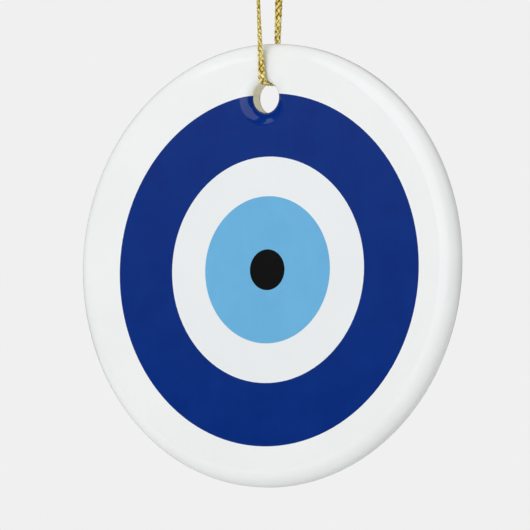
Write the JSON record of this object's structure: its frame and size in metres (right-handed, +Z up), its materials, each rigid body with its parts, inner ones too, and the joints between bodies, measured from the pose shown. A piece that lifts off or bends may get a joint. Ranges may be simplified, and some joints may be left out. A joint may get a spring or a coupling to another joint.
{
  "type": "evil eye ornament",
  "caption": "Round flat ceramic ornament with a printed evil eye, hung by a knotted loop of gold cord through a hole near its rim.",
  "frame": {"origin": "where the cord loop's inner top rests on the hook that it hangs from, in the disc's middle plane and straight above the hole", "axes": "+Z up along the hanging cord, the printed front face towards -Y, +X to the right as the front is seen"},
  "size_m": [0.073, 0.012, 0.1372],
  "materials": {
    "white_glaze": "glossy white glaze over pressed ceramic",
    "cobalt_ink": "dark blue print under gloss glaze",
    "sky_ink": "light blue print under gloss glaze",
    "black_ink": "black print under gloss glaze",
    "gold_cord": "flat braid of metallic gold thread"
  },
  "bodies": {
    "upper_loop": {"cord_front_strand": "gold_cord", "cord_back_strand": "gold_cord", "cord_knot": "gold_cord", "cord_front_tail": "gold_cord", "cord_back_tail": "gold_cord"},
    "bight": {"cord_bight": "gold_cord"},
    "disc": {"ceramic_disc": "white_glaze", "print_front_blue_ring": "cobalt_ink", "print_front_sky_iris": "sky_ink", "print_front_black_pupil": "black_ink", "print_back_blue_ring": "cobalt_ink", "print_back_sky_iris": "sky_ink", "print_back_black_pupil": "black_ink"}
  },
  "joints": [
    {"name": "cord_twist", "type": "hinge", "parent": "upper_loop", "child": "bight", "pos_m": [0, 0, -0.0429], "axis": [0, 0, 1], "range_deg": [-180, 180], "stiffness_Nm_per_rad": 0.00014},
    {"name": "disc_swing", "type": "hinge", "parent": "bight", "child": "disc", "pos_m": [0, 0, -0.0609], "axis": [0, 1, 0], "range_deg": [-45, 45]}
  ]
}
